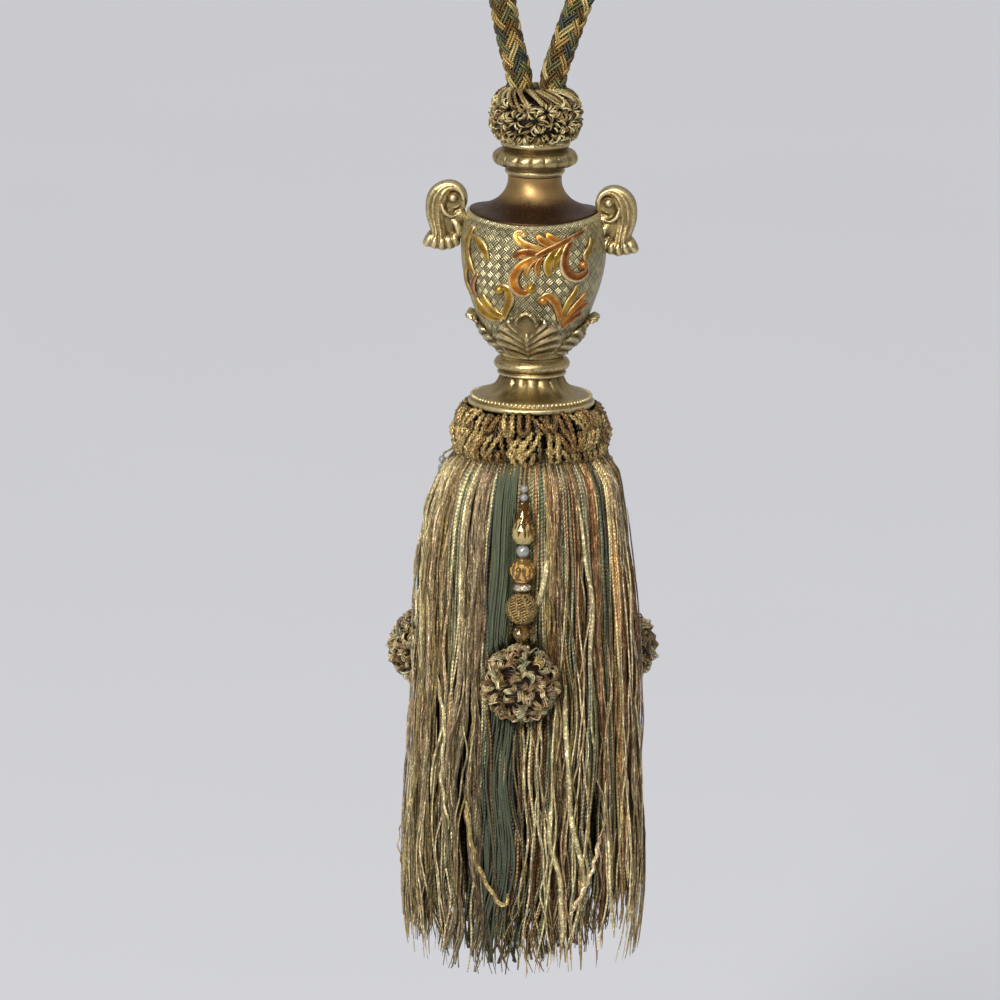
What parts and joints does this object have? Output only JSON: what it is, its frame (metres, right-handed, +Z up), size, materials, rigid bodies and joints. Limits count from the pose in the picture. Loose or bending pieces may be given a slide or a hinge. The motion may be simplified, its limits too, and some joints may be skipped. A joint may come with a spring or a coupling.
{
  "type": "curtain tieback tassel",
  "caption": "Curtain tieback tassel: a braided cord loop, a gilded urn with scrolled ears, yarn ruffs, and a long yarn skirt under strings of beads that end in pompoms.",
  "frame": {"origin": "underside of the crown of the cord loop, where a hook carries the tassel", "axes": "+Z up along the hanging tassel, +X towards its right ear, -Y towards the viewer of its front"},
  "size_m": [0.1003, 0.0995, 0.5529],
  "materials": {
    "braid": "two-over-two herringbone braid of gold, sage green, dark bronze and grey gimp, matt with a slight sheen",
    "ruff_yarn": "twisted bronze-gold rayon loops, soft sheen",
    "gilt": "antique silver-gold paint on a cast, satin, darker in the recesses",
    "shoulder_bronze": "satin bronze-brown paint, darker towards the rim",
    "bowl_gilt": "silver-gold basketweave ground with translucent orange and yellow lacquer on raised scrolls",
    "skirt_yarn": "mixed gold, rose and sage yarns, satin ribbon and metallic threads",
    "thread": "twisted gold thread",
    "pearl": "grey imitation pearl",
    "amber": "clear facetted amber",
    "rose_metal": "rose-silver plated twist",
    "gold_cord": "fine gold cord wound on a ball",
    "pompom_yarn": "curled loops of gold, rose, silver and green yarn"
  },
  "bodies": {
    "root": {"cord_loop": "braid", "top_ruff": "ruff_yarn", "collar": "gilt", "shoulder": "shoulder_bronze", "bowl": "bowl_gilt", "ear_left": "gilt", "ear_right": "gilt", "foot": "gilt", "skirt_ruff": "ruff_yarn", "skirt": "skirt_yarn", "thread_front": "thread", "pearl_upper_front": "pearl", "pearl_lower_front": "pearl", "amber_drop_front": "amber", "pearl_large_front": "pearl", "amber_round_front": "amber", "twist_rondelle_front": "rose_metal", "wrapped_ball_front": "gold_cord", "amber_small_front": "amber", "pompom_front": "pompom_yarn", "thread_right": "thread", "pearl_upper_right": "pearl", "pearl_lower_right": "pearl", "amber_drop_right": "amber", "pearl_large_right": "pearl", "amber_round_right": "amber", "twist_rondelle_right": "rose_metal", "wrapped_ball_right": "gold_cord", "amber_small_right": "amber", "pompom_right": "pompom_yarn", "thread_left": "thread", "pearl_upper_left": "pearl", "pearl_lower_left": "pearl", "amber_drop_left": "amber", "pearl_large_left": "pearl", "amber_round_left": "amber", "twist_rondelle_left": "rose_metal", "wrapped_ball_left": "gold_cord", "amber_small_left": "amber", "pompom_left": "pompom_yarn"}
  },
  "joints": []
}
